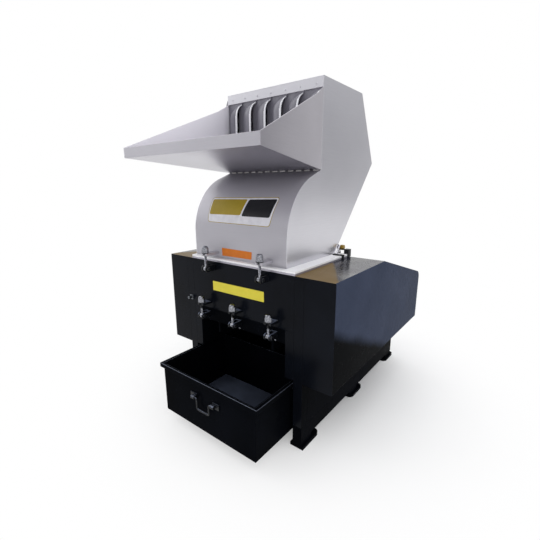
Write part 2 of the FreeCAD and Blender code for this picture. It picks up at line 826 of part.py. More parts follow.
# Knob on the left front post
knob_position = -inner_side - knob_side_offset
half_collar = knob_collar_size / 2
collar = box(knob_position - half_collar, knob_position + half_collar, -knob_collar_length, 0,
             knob_height - half_collar, knob_height + half_collar)
knob = Part.Face(closed([
    FreeCAD.Vector(knob_position + a, 0, knob_height + b) for a, b in corners_of(knob_radius, knob_sides)
])).extrude(FreeCAD.Vector(0, -knob_length, 0))
save("post_knob", collar.fuse(knob))


# Runners: shelves on the posts and side walls, under the lips of the drawer's rim
def runner():
    top = drawer_top - rim_height - runner_gap
    bottom = top - runner_thickness
    inner = drawer_side + runner_to_drawer
    shelf = box(inner, cabinet_side - wall_plate, post_depth, chamber_back, bottom, top)
    nose = box(inner, inner_side, runner_front, post_depth, bottom, top)
    return shelf.fuse(nose).removeSplitter()


right_runner = runner()
save("drawer_runners", right_runner, mirrored(right_runner))

# Drawer: folded tub, front sheet, rim of angle round the top
tub = box(-drawer_side, drawer_side, drawer_front + drawer_sheet, drawer_back, drawer_bottom, drawer_top)
tub = tub.cut(box(-drawer_side + drawer_sheet, drawer_side - drawer_sheet,
                  drawer_front + drawer_sheet, drawer_back - drawer_sheet,
                  drawer_bottom + drawer_sheet, drawer_top))
save("drawer_tub", tub)
save("drawer_front", box(-drawer_side, drawer_side, drawer_front, drawer_front + drawer_sheet,
                         drawer_bottom, drawer_top))
rim_front = drawer_front - rim_front_overhang
rim_back = drawer_back + rim_back_overhang
rim_bottom = drawer_top - rim_height
rim = box(-rim_side, rim_side, rim_front, rim_back, rim_bottom, drawer_top)
rim = rim.cut(box(-drawer_side, drawer_side, drawer_front, drawer_back, rim_bottom, drawer_top))
rim = rim.cut(box(-rim_side + rim_sheet, rim_side - rim_sheet, rim_front + rim_sheet, rim_back - rim_sheet,
                  rim_bottom, drawer_top - rim_sheet))
save("drawer_rim", rim)


# Drawer handle: two pads with bosses, and a bail that hangs from them
def handle_mount():
    centre = handle_pad_spacing / 2
    pad = box(centre - handle_pad_length / 2, centre + handle_pad_length / 2,
              drawer_front - handle_pad_thickness, drawer_front,
              handle_height - handle_pad_height / 2, handle_height + handle_pad_height / 2)
    axis_depth = drawer_front - handle_stand_off
    x0 = centre - handle_pad_length / 2
    boss = bar_x(x0, x0 + handle_boss_length, axis_depth, handle_height, handle_boss_radius,
                 handle_boss_sides)
    neck = box(x0, x0 + handle_boss_length, axis_depth, drawer_front - handle_pad_thickness,
               handle_height - handle_neck_height / 2, handle_height + handle_neck_height / 2)
    socket = rod_x(x0, x0 + handle_boss_length - handle_boss_floor, axis_depth, handle_height,
                   handle_rod_radius + handle_clearance)
    return pad.multiFuse([boss, neck]).removeSplitter().cut(socket)


def handle_bail():
    """Round rod: two pivots, two legs and the grip, with bent corners."""
    depth = drawer_front - handle_stand_off
    leg = handle_leg_spacing / 2
    pivot_end = handle_pad_spacing / 2 - handle_pad_length / 2 + handle_boss_length
    pivot_end -= handle_boss_floor + handle_end_gap
    bottom = handle_height - handle_drop
    r = handle_bend_radius
    s = r - r * math.cos(math.pi / 4)
    half = [
        (pivot_end, handle_height),
        (leg + r, handle_height),
        (leg + s, handle_height - s),
        (leg, handle_height - r),
        (leg, bottom + r),
        (leg - s, bottom + s),
        (leg - r, bottom),
    ]
    line = half + [(-x, z) for x, z in reversed(half)]
    path = Part.makePolygon([FreeCAD.Vector(x, depth, z) for x, z in line])
    start = FreeCAD.Vector(pivot_end, depth, handle_height)
    corners = corners_of(handle_rod_radius, handle_rod_sides)
    section = closed([start + FreeCAD.Vector(0, a, b) for a, b in corners])
    return path.makePipeShell([section], True, True, mitred_corners)


mount = handle_mount()
save("handle_mounts", mount, mirrored(mount))
save("handle_bail", handle_bail())
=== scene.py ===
import json
import math
from contextlib import contextmanager

import bpy
from mathutils import Matrix, Vector

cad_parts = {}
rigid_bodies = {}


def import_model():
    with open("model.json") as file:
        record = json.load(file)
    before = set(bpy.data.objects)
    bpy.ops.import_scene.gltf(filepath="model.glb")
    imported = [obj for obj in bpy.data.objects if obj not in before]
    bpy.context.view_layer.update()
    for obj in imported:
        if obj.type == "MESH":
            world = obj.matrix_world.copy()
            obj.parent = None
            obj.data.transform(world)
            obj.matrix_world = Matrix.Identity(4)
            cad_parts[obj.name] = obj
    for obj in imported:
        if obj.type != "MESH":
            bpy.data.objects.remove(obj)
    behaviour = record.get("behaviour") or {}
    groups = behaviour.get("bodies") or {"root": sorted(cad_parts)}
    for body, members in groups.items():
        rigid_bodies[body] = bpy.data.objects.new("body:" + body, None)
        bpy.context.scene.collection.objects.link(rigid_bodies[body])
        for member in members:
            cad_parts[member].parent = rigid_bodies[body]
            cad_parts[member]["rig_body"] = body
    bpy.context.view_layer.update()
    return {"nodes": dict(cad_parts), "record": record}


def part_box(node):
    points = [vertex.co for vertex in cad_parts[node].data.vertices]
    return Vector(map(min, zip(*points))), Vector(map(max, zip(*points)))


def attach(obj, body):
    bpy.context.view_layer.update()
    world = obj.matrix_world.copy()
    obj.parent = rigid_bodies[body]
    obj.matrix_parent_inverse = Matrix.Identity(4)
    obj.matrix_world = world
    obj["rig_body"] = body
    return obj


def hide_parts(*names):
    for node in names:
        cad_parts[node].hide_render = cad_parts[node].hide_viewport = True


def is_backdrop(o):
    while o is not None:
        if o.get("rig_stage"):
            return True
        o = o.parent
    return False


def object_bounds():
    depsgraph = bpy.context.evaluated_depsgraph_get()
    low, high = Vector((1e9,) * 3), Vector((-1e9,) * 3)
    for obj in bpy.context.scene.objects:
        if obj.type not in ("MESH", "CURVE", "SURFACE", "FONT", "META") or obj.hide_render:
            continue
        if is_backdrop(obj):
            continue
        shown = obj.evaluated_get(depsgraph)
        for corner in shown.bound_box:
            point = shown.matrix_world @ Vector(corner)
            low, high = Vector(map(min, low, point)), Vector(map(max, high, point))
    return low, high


bl_info = {
    "name": "Granulator",
    "version": (1, 0, 0),
    "blender": (4, 5, 0),
    "location": "View3D > Sidebar > Granulator",
    "description": "Dresses a plastics granulator: finishes, swing bolts, curtain, plates and studio",
    "category": "Add Mesh",
}

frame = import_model()
slot_of = {row["node"]: row["material_slot"] for row in frame["record"]["subparts"]}

MM = 0.001


def linear(code):
    """Turns an sRGB hex value into a linear colour."""
    parts = [int(code[start:start + 2], 16) / 255 for start in (0, 2, 4)]
    return [part / 12.92 if part <= 0.04045 else ((part + 0.055) / 1.055) ** 2.4 for part in parts] + [1.0]


def colour(name, description, code):
    return bpy.props.FloatVectorProperty(name=name, description=description, subtype="COLOR", size=4,
                                         min=0.0, max=1.0, default=linear(code))


def length(name, description, millimetres):
    return bpy.props.FloatProperty(name=name, description=description, unit="LENGTH", subtype="DISTANCE",
                                   min=0.0, default=millimetres * MM)


class GranulatorColours(bpy.types.PropertyGroup):
    enamel: colour("Enamel", "Blue-black enamel of the body", "0a0c11")
    enamel_film: colour("Enamel film", "Enamel where handling has dulled it", "10131a")
    # the blue-grey of housings and covers, and its second tone, are a painted reflection in the glossy enamel
    housing: colour("Housing enamel", "Blue-grey enamel of housings and covers", "343b4c")
    housing_reflection: colour("Housing film", "The same enamel under a thin film of dust", "3c4355")
    # a darker copy of the enamel without its sheen: painted shade on the base, the sides of the front parts, the
    # drawer and the lower parts of the housings
    enamel_shaded: colour("Lower enamel", "The same enamel on the base, where no dust lies", "050608")
    # the deck's lilac tone and the warm tone beside the flange are painted reflections on the level tops
    deck: colour("Deck enamel", "Enamel of the deck under its finest dust", "2a2838")
    deck_warm_reflection: colour("Deck dust", "Warm dust of ground plastic beside the flange", "6b5424")
    # lighter rubbed steel, also a painted highlight where it lies on the rim's edges and the handle's tops
    worn_and_highlight: colour("Rubbed edge", "Enamel rubbed to steel along an edge", "666c7c")
    black_paint: colour("Black paint", "Black paint of brackets, feet and runners", "07080a")
    stainless: colour("Stainless", "Brushed stainless sheet", "dcdbe0")
    stainless_dull: colour("Dull stainless", "The same sheet between its brush lines", "cccbd1")
    # the front's stainless is darker than the sides': painted shade
    front: colour("Front sheet", "Stainless brushed across, darker than the sides", "b9b7bd")
    front_dull: colour("Dull front sheet", "The same sheet between its brush lines", "aaa8af")
    # the wings' inner faces are painted lighter: painted light
    wing_inside_lit: colour("Slid steel", "Inside of the tray's wing, dulled by what slides along it", "eeebf2")
    mill: colour("Mill finish", "Unbrushed underside of the tray", "bab7c2")
    # the darker patches of the tray's underside are painted shade under the tray
    mill_shaded: colour("Dull mill finish", "The same sheet where it is stained", "827f8a")
    header: colour("Header", "Anodised angle that clamps the curtain", "d6d5da")
    # the flanges' near-white colour is painted light: the light that their steel catches
    flange: colour("Flange steel", "Lacquered flange plates", "fafafa")
    zinc: colour("Zinc", "Bright zinc of bolts and nuts", "a4a5ac")
    zinc_dull: colour("Dull zinc", "Zinc with a first bloom", "6f7177")
    yellow_zinc: colour("Yellow zinc", "Yellow passivated pins", "a5873a")
    curtain: colour("Curtain", "Grey flexible PVC", "7d7b84")
    # near-white edges of the strips: painted highlight
    curtain_edge_highlight: colour("Curtain edge", "Cut edges of the strips, which carry the light", "f2f2f4")
    chamber_steel: colour("Chamber steel", "Ground steel of rotor and screen", "7e8288")
    plate_yellow: colour("Yellow plate", "Yellow of the bare plate", "dccf45")
    strip_orange: colour("Orange strip", "Orange of the bare strip", "cf7424")
    label_gold: colour("Label gold", "Left field of the label", "a08a28")
    label_black: colour("Label black", "Right field of the label", "15161a")
    label_white: colour("Label white", "Border of the label", "dedde2")
    studio: colour("Studio", "Pale floor and backdrop", "f4f4f4")


class GranulatorSizes(bpy.types.PropertyGroup):
    body_edge: length("Body edge", "Rounding of the painted plates", 1.0)
    sheet_edge: length("Sheet edge", "Rounding of folded sheet", 1.0)
    rim_edge: length("Rim edge", "Rubbed rounding of the drawer's rim", 2.0)
    small_edge: length("Small edge", "Rounding of small parts", 0.8)
    forged_edge: length("Forged edge", "Rounding of the hinge blocks", 2.0)
    mount_edge: length("Mount edge", "Rounding of the handle's mounts", 1.5)
    turned_edge: length("Turned edge", "Rounding of hinge pins, clip and knob", 1.0)
    pin_edge: length("Pin edge", "Rounding of the swing bolts' pins", 0.5)
    shank_radius: length("Shank radius", "Swing bolt's shank", 7.0)
    thread_length: length("Thread length", "Threaded part of the shank", 62.0)
    eye_radius: length("Eye radius", "Swing bolt's eye", 13.5)
    eye_width: length("Eye width", "Swing bolt's eye along its pin", 22.0)
    eye_edge: length("Eye edge", "Rounding of the forged eye", 2.2)
    bore_radius: length("Bore radius", "Hole of the eye", 7.3)
    # a black band on the lower bolts' threads stands for shade under the lug: painted shade
    thread_painted_shade: length("Oiled thread", "Blackened part of the lower bolts' threads, under the washer", 34.0)
    thread_pitch: length("Thread pitch", "Distance from crest to crest", 2.5)
    nut_radius: length("Nut radius", "Cap nut over its corners", 19.4)
    nut_height: length("Nut height", "Hexagon of the cap nut", 24.0)
    nut_edge: length("Nut edge", "Rounding of the hexagon", 1.2)
    washer_radius: length("Washer radius", "Washer under the cap nut", 20.0)
    washer_height: length("Washer height", "Washer under the cap nut", 3.0)
    washer_edge: length("Washer edge", "Rounding of the washer", 0.6)
    screw_radius: length("Screw radius", "Head of the screws in cradle and rear panel", 5.5)
    header_screw_radius: length("Header screw radius", "Head of the header's screws", 4.5)
    screw_height: length("Screw height", "Head of the header's screws", 3.2)
    rod_radius: length("Rod radius", "Rod of the drawer's handle", 5.0)
    rod_bend: length("Rod bend", "Rounding of the handle's corners", 12.0)
    handle_leg: length("Handle leg", "Drawer handle's legs from its middle", 45.0)
    strip_bend: length("Strip bend", "How far the edge of a curtain strip curls out", 34.0)
    strip_pull: length("Strip pull", "How far the curled edge is drawn in", 18.0)
    strip_overlap: length("Strip overlap", "How far a strip reaches behind its neighbour", 34.0)
    plate_thickness: length("Plate thickness", "Thin plates on the front", 0.6)


def colours():
    return bpy.context.scene.granulator_colours


def sizes():
    return bpy.context.scene.granulator_sizes


# Materials

def add(tree, kind, inputs=None, **properties):
    """Adds one node, sets its properties, and gives each named input a value or a link."""
    new = tree.nodes.new(kind)
    for name, value in properties.items():
        setattr(new, name, value)
    for name, value in (inputs or {}).items():
        if isinstance(value, bpy.types.NodeSocket):
            tree.links.new(value, new.inputs[name])
        else:
            new.inputs[name].default_value = value
    return new


def start_material(name):
    """An empty material, and its object coordinates in metres."""
    made = bpy.data.materials.new(name)
    made.use_nodes = True
    made.node_tree.nodes.clear()
    return made, add(made.node_tree, "ShaderNodeTexCoord").outputs["Object"]


def finish(made, base, rough, metallic=0.0, specular=0.5, height=None, depth=0.0, strength=1.0):
    """Gives a material its shader, with a relief of this depth in millimetres where there is a height."""
    tree = made.node_tree
    inputs = {"Base Color": base, "Roughness": rough, "Metallic": metallic, "Specular IOR Level": specular}
    if height is not None:
        inputs["Normal"] = add(tree, "ShaderNodeBump", {"Height": height, "Distance": depth * MM,
                                                        "Strength": strength}).outputs["Normal"]
    shader = add(tree, "ShaderNodeBsdfPrincipled", inputs)
    add(tree, "ShaderNodeOutputMaterial", {"Surface": shader.outputs["BSDF"]})
    return made


def between(value, first, second, low=0.3, high=0.7, course="LINEAR"):
    """Runs from a first number or colour to a second while the value rises from low to high."""
    tree = value.id_data
    numbers = isinstance(first, (int, float))
    start, end = (first, second) if numbers else (0.0, 1.0)
    share = add(tree, "ShaderNodeMapRange", {"Value": value, "From Min": low, "From Max": high,
                                             "To Min": start, "To Max": end}, interpolation_type=course)
    if numbers:
        return share.outputs["Result"]
    return add(tree, "ShaderNodeMix", {0: share.outputs["Result"], 6: first, 7: second},
               data_type="RGBA").outputs[2]


def pattern(coords, millimetres, first=None, second=None, detail=2.0, stretch=(1, 1, 1)):
    """Noise with spots this wide, drawn out along an axis by a stretch under 1.

    It runs between the two numbers or colours, or is left plain without them.
    """
    tree = coords.id_data
    place = add(tree, "ShaderNodeMapping", {"Vector": coords, "Scale": stretch})
    plain = add(tree, "ShaderNodeTexNoise", {"Vector": place.outputs["Vector"], "Scale": 1000 / millimetres,
                                             "Detail": detail}).outputs["Fac"]
    return plain if first is None else between(plain, first, second)


def slanting_line(coords, across, rear, slope, millimetres, ragged):
    """How far a point lies beyond a line that slants towards the rear, in metres; noise makes the line ragged."""
    total = across
    for value, factor in ((rear, slope), (pattern(coords, millimetres, detail=4.0), ragged)):
        total = add(coords.id_data, "ShaderNodeMath", {0: value, 1: factor, 2: total},
                    operation="MULTIPLY_ADD").outputs[0]
    return total


def enamel(name, deep, film, level, low, high):
    """Two-pack enamel, sprayed: smooth and glossy, with a faint orange peel and a duller film from hands."""
    made, coords = start_material(name)
    base = pattern(coords, 260, deep, film, 4.0)
    # orange peel is about 3 mm from crest to crest; it is drawn at 9 mm so that it shows
    return finish(made, base, pattern(coords, 120, low, high, 5.0), specular=level,
                  height=pattern(coords, 9), depth=0.04, strength=0.5)


def rubbed_enamel_highlight():
    """Enamel rubbed through to the steel by hands and by the bin: patches of dull bare metal in dark paint. Laid on
    the rim's edges and on the handle's tops, its lighter colour is also a painted highlight.
    """
    made, coords = start_material("enamel_rubbed_with_painted_highlight")
    bare = pattern(coords, 14, 0.25, 0.9, 4.0)
    base = between(bare, colours().enamel_film, colours().worn_and_highlight, 0, 1)
    return finish(made, base, pattern(coords, 9, 0.3, 0.45), metallic=bare)


def housing_enamel():
    """The same enamel on the housings, with a painted reflection: blue-grey above a line that falls towards the
    rear, and the darker shaded copy of the enamel below it.
    """
    made, coords = start_material("enamel_blue_grey_painted_reflection")
    c = colours()
    reflected_grey = pattern(coords, 300, c.housing, c.housing_reflection, 4.0)
    place = add(made.node_tree, "ShaderNodeSeparateXYZ", {0: coords}).outputs
    # the painted reflection's lower end falls 455 mm per metre towards the rear, and is 50 mm ragged
    line = slanting_line(coords, place["Z"], place["Y"], 0.455, 160, 0.05)
    base = between(line, c.enamel_shaded, reflected_grey, 0.343, 0.423, "SMOOTHSTEP")
    # the enamel's own sheen is nearly taken away, since its reflection is painted into the colour
    return finish(made, base, pattern(coords, 120, 0.22, 0.34, 5.0), specular=0.004,
                  height=pattern(coords, 9), depth=0.015, strength=0.5)


def deck_enamel():
    """The same enamel on the deck: still glossy, lighter and lilac on the level tops, with a warm tone beside the
    flange; both tones are painted reflections.
    """
    made, coords = start_material("enamel_deck_painted_reflection")
    c = colours()
    tree = made.node_tree
    place = add(tree, "ShaderNodeSeparateXYZ", {0: coords}).outputs
    aside = add(tree, "ShaderNodeMath", {0: place["X"]}, operation="ABSOLUTE").outputs[0]
    # the warm painted reflection is widest at the front: its end runs 612 mm outwards per metre towards the front
    line = slanting_line(coords, aside, place["Y"], 0.612, 60, 0.02)
    painted_reflection = between(line, 1.0, 0.0, 0.145, 0.167, "SMOOTHSTEP")
    paint = pattern(coords, 200, c.deck, c.enamel_film, 4.0)
    # the enamel is rougher where the warm reflection is painted
    rough = add(tree, "ShaderNodeMath", {0: painted_reflection, 1: 0.25, 2: pattern(coords, 90, 0.2, 0.3, 5.0)},
                operation="MULTIPLY_ADD").outputs[0]
    return finish(made, between(painted_reflection, paint, c.deck_warm_reflection, 0, 1), rough,
                  height=pattern(coords, 9), depth=0.015, strength=0.5)


def black_paint():
    """Brushed-on black paint over forged and flame-cut steel: uneven and half matt."""
    made, coords = start_material("paint_black_satin")
    base = pattern(coords, 22, colours().black_paint, colours().enamel_film, 4.0)
    return finish(made, base, pattern(coords, 9, 0.3, 0.5, 3.0), specular=0.25,
                  height=pattern(coords, 4), depth=0.2, strength=0.6)


def brushed(name, first, second, stretch, rough, metallic):
    """Sheet metal, belt-brushed: fine parallel lines that draw the light out across them."""
    made, coords = start_material(name)
    # brush lines are about 0.2 mm apart; they are drawn at 2 mm so that they show
    lines = pattern(coords, 2.2, detail=3.0, stretch=stretch)
    clouded = add(made.node_tree, "ShaderNodeMath", {0: lines, 1: pattern(coords, 350, detail=3.0), 2: 0.22},
                  operation="MULTIPLY_ADD").outputs[0]
    base = between(between(clouded, 0.25, 0.9), second, first, 0, 1)
    return finish(made, base, between(lines, rough - 0.02, rough + 0.03), metallic,
                  height=lines, depth=0.012, strength=0.5)


def zinc():
    """Zinc plating on forged bolts: bright, slightly grained, with a grey bloom in patches."""
    made, coords = start_material("zinc_plating_bright")
    base = pattern(coords, 7, colours().zinc, colours().zinc_dull, 3.0)
    return finish(made, base, pattern(coords, 3, 0.2, 0.36), metallic=1.0,
                  height=pattern(coords, 1.6), depth=0.03, strength=0.5)


def yellow_zinc():
    """Yellow passivated zinc: golden, thin and a little blotchy."""
    made, coords = start_material("zinc_yellow_passivated")
    base = pattern(coords, 8, colours().yellow_zinc, linear("6e5a26"), 3.0)
    return finish(made, base, pattern(coords, 4, 0.25, 0.4), metallic=1.0)


def chamber_steel():
    """Ground tool steel inside the chamber: grey, streaked by grinding and by ground plastic."""
    made, coords = start_material("steel_ground")
    base = pattern(coords, 6, colours().chamber_steel, linear("55585d"), 3.0, (0.1, 1, 1))
    return finish(made, base, pattern(coords, 14, 0.38, 0.55), metallic=1.0)


def perforated_steel():
    """The same steel drilled with 8 mm holes on a 14 mm pitch; the holes are dark dots of painted shade, for the
    dark seen through them.
    """
    made, coords = start_material("steel_perforated")
    holes = add(made.node_tree, "ShaderNodeTexVoronoi", {"Vector": coords, "Scale": 1000 / 14, "Randomness": 0.0})
    mask = between(holes.outputs["Distance"], 0.0, 1.0, 0.27, 0.31)
    base = between(mask, linear("060607"), colours().chamber_steel, 0, 1)
    return finish(made, base, pattern(coords, 14, 0.4, 0.55), metallic=1.0, height=mask, depth=1.0)


def curtain_pvc():
    """Flexible grey PVC: soft sheen, faint waves from its calender, dust along its length."""
    made, coords = start_material("pvc_flexible_grey")
    wave = pattern(coords, 40, 0.0, 1.0, stretch=(1, 1, 0.2))
    base = between(wave, colours().curtain, linear("696771"), 0, 1)
    return finish(made, base, pattern(coords, 18, 0.3, 0.45), height=wave, depth=0.4)


def curtain_edge_highlight():
    """Cut edge of the same PVC, nearly white: a painted highlight along the curled edges."""
    made, coords = start_material("pvc_edge_painted_highlight")
    return finish(made, pattern(coords, 5, colours().curtain_edge_highlight, linear("dcdce2")), 0.4)


def printed_film(name, base, shade, rough=0.38):
    """Printed vinyl film: flat ink under a satin laminate, a little uneven where it lies on the sheet."""
    made, coords = start_material(name)
    return finish(made, pattern(coords, 30, base, shade, 3.0), rough, specular=0.2)


def weld_metal():
    """Bright weld bead: rippled, straw-tinted beside the seam; its near-white colour, lighter than the sheet, is
    partly a painted highlight.
    """
    made, coords = start_material("weld_bead_stainless")
    ripple = pattern(coords, 2.5, 0.0, 1.0, 3.0)
    base = between(ripple, linear("f4f4f6"), linear("d6d1c8"), 0, 1)
    return finish(made, base, 0.3, metallic=0.7, height=ripple, depth=0.3)


def make_materials():
    c = colours()
    # the brush lines run long on the level, long across the width, or short across the width
    level, across, faint = (0.02, 0.02, 1), (0.02, 1, 1), (0.05, 1, 1)
    return {
        "enamel": enamel("enamel_blue_black", c.enamel, c.enamel_film, 0.06, 0.16, 0.26),
        "enamel_shaded": enamel("enamel_black_painted_shade", c.enamel_shaded, c.enamel, 0.004, 0.25, 0.35),
        "housing": housing_enamel(),
        "deck": deck_enamel(),
        "worn_and_highlight": rubbed_enamel_highlight(),
        "ledge_painted_light": enamel("enamel_ledge_painted_light", c.worn_and_highlight, c.housing_reflection, 0.2, 0.3, 0.45),
        # lighter enamel on the drawer's floor: a painted pool of light
        "bin_floor_painted_light": enamel("enamel_bin_floor_painted_light", linear("4f5666"), linear("2b2f3a"), 0.1, 0.3, 0.45),
        "black": black_paint(),
        "side_sheet": brushed("stainless_brushed_level", c.stainless, c.stainless_dull, level, 0.3, 0.85),
        "back_sheet": brushed("stainless_brushed_satin", c.stainless, c.stainless_dull, level, 0.5, 0.3),
        # the wings' inner and outer faces are lit and shaded copies of the stainless: painted light and shade
        "wing_lit_sheet": brushed("stainless_wing_painted_light", c.wing_inside_lit, linear("dddbe2"), faint, 0.5, 0.3),
        "wing_shaded_sheet": brushed("stainless_wing_painted_shade", linear("aeabb2"), linear("9a979e"), level, 0.3, 0.85),
        "front_sheet": brushed("stainless_brushed_across_painted_shade", c.front, c.front_dull, across, 0.46, 0.45),
        "mill": brushed("stainless_mill_finish", c.mill, c.mill_shaded, faint, 0.22, 0.6),
        "header": brushed("aluminium_anodised", c.header, c.stainless_dull, across, 0.4, 0.3),
        "flange": brushed("steel_ground_painted_light", c.flange, c.header, faint, 0.36, 0.0),
        "zinc": zinc(),
        "yellow_zinc": yellow_zinc(),
        "chamber": chamber_steel(),
        "screen": perforated_steel(),
        "curtain": curtain_pvc(),
        "curtain_edge_highlight": curtain_edge_highlight(),
        "yellow": printed_film("film_yellow", c.plate_yellow, linear("d8ca40")),
        "orange": printed_film("film_orange", c.strip_orange, linear("c06a20")),
        "gold": printed_film("film_gold", c.label_gold, linear("998422")),
        "label_black": printed_film("film_black", c.label_black, linear("17181c"), 0.3),
        "label_white": printed_film("film_white", c.label_white, linear("cfced4")),
        "weld": weld_metal(),
    }


looks = {}


# Modelling helpers

def deselect():
    if bpy.context.object and bpy.context.object.mode != "OBJECT":
        bpy.ops.object.mode_set(mode="OBJECT")
    bpy.ops.object.select_all(action="DESELECT")


def only(*pieces):
    """Selects these pieces alone; the first is active."""
    deselect()
    for piece in pieces:
        piece.select_set(True)
    bpy.context.view_layer.objects.active = pieces[0]


@contextmanager
def picked(piece, kind, test):
    """Edit mode with just the vertices, edges or faces that pass the test."""
    only(piece)
    bpy.ops.object.mode_set(mode="EDIT")
    bpy.ops.mesh.select_mode(type=kind)
    bpy.ops.mesh.select_all(action="DESELECT")
    bpy.ops.object.mode_set(mode="OBJECT")
    mesh = piece.data
    found = 0
    for item in {"VERT": mesh.vertices, "EDGE": mesh.edges, "FACE": mesh.polygons}[kind]:
        item.select = bool(test(item))
        found += item.select
    if not found:
        raise RuntimeError(f"{piece.name}: nothing passed the test")
    bpy.ops.object.mode_set(mode="EDIT")
    yield
    bpy.ops.object.mode_set(mode="OBJECT")


def edge_ends(piece, edge):
    return [piece.data.vertices[index].co for index in edge.vertices]


def at_origin(piece):
    only(piece)
    bpy.ops.object.transform_apply(location=True, rotation=True, scale=True)
    return piece


def made_by(operator, name, stretch=(1, 1, 1), **settings):
    """Adds a primitive, names it, gives it its size and puts its place into its mesh."""
    deselect()
    operator(**settings)
    piece = bpy.context.active_object
    piece.name = name
    piece.scale = stretch
    return at_origin(piece)


def modify(piece, kind, **settings):
    """Adds a modifier with these settings and applies it."""
    only(piece)
    modifier = piece.modifiers.new(kind.title(), kind)
    for name, value in settings.items():
        setattr(modifier, name, value)
    bpy.ops.object.modifier_apply(modifier=modifier.name)


def round_edges(piece, width, angle=32, segments=2, second_look=-1):
    """Rounds the edges; the new faces may take the piece's second material."""
    modify(piece, "BEVEL", width=width, segments=segments, material=second_look, limit_method="ANGLE",
           angle_limit=math.radians(angle))


def smooth(piece, angle=35, flat=True):
    """Smooth shading that keeps flat faces flat."""
    only(piece)
    bpy.ops.object.shade_smooth_by_angle(angle=math.radians(angle))
    if flat:
        modify(piece, "WEIGHTED_NORMAL", weight=100, keep_sharp=True)


def paint(piece, *names):
    """Gives a piece these looks, in this order, in place of those it has."""
    piece.data.materials.clear()
    for name in names:
        piece.data.materials.append(looks[name])


def divide(piece, which):
    """Gives each face the look whose number the rule says."""
    for face in piece.data.polygons:
        face.material_index = int(which(face))


def settle(piece, body, slot, *nodes):
    """Says which body carries a finished piece and hides the CAD nodes that it stands for; the slot is not used."""
    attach(piece, body)
    if nodes:
        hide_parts(*nodes)


def soften(node, width, *names, which=None, flat=True):
    """Merges a copy of a CAD node, rounds its edges, paints it and lets it stand for the node.

    Where there are several looks, the rounded edges take the second, unless a rule says which face takes which.
    """
    piece = bpy.data.objects.new(node + "_dressed", frame["nodes"][node].data.copy())
    bpy.context.scene.collection.objects.link(piece)
    paint(piece, *names)
    only(piece)
    bpy.ops.object.mode_set(mode="EDIT")
    bpy.ops.mesh.select_all(action="SELECT")
    bpy.ops.mesh.remove_doubles(threshold=0.01 * MM)
    bpy.ops.mesh.dissolve_limited(angle_limit=math.radians(0.5))
    bpy.ops.object.mode_set(mode="OBJECT")
    if width:
        round_edges(piece, width, second_look=1 if len(names) > 1 else -1)
    smooth(piece, flat=flat)
    if which:
        divide(piece, which)
    settle(piece, frame["nodes"][node]["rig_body"], slot_of[node], node)


def copy_of(piece, name, offset, body, slot, *nodes):
    """A copy with its own mesh, moved by an offset."""
    twin = piece.copy()
    twin.data = piece.data.copy()
    twin.name = name
    bpy.context.scene.collection.objects.link(twin)
    twin.location = offset
    settle(at_origin(twin), body, slot, *nodes)


class GranulatorOperator:
    bl_options = {"REGISTER", "UNDO"}


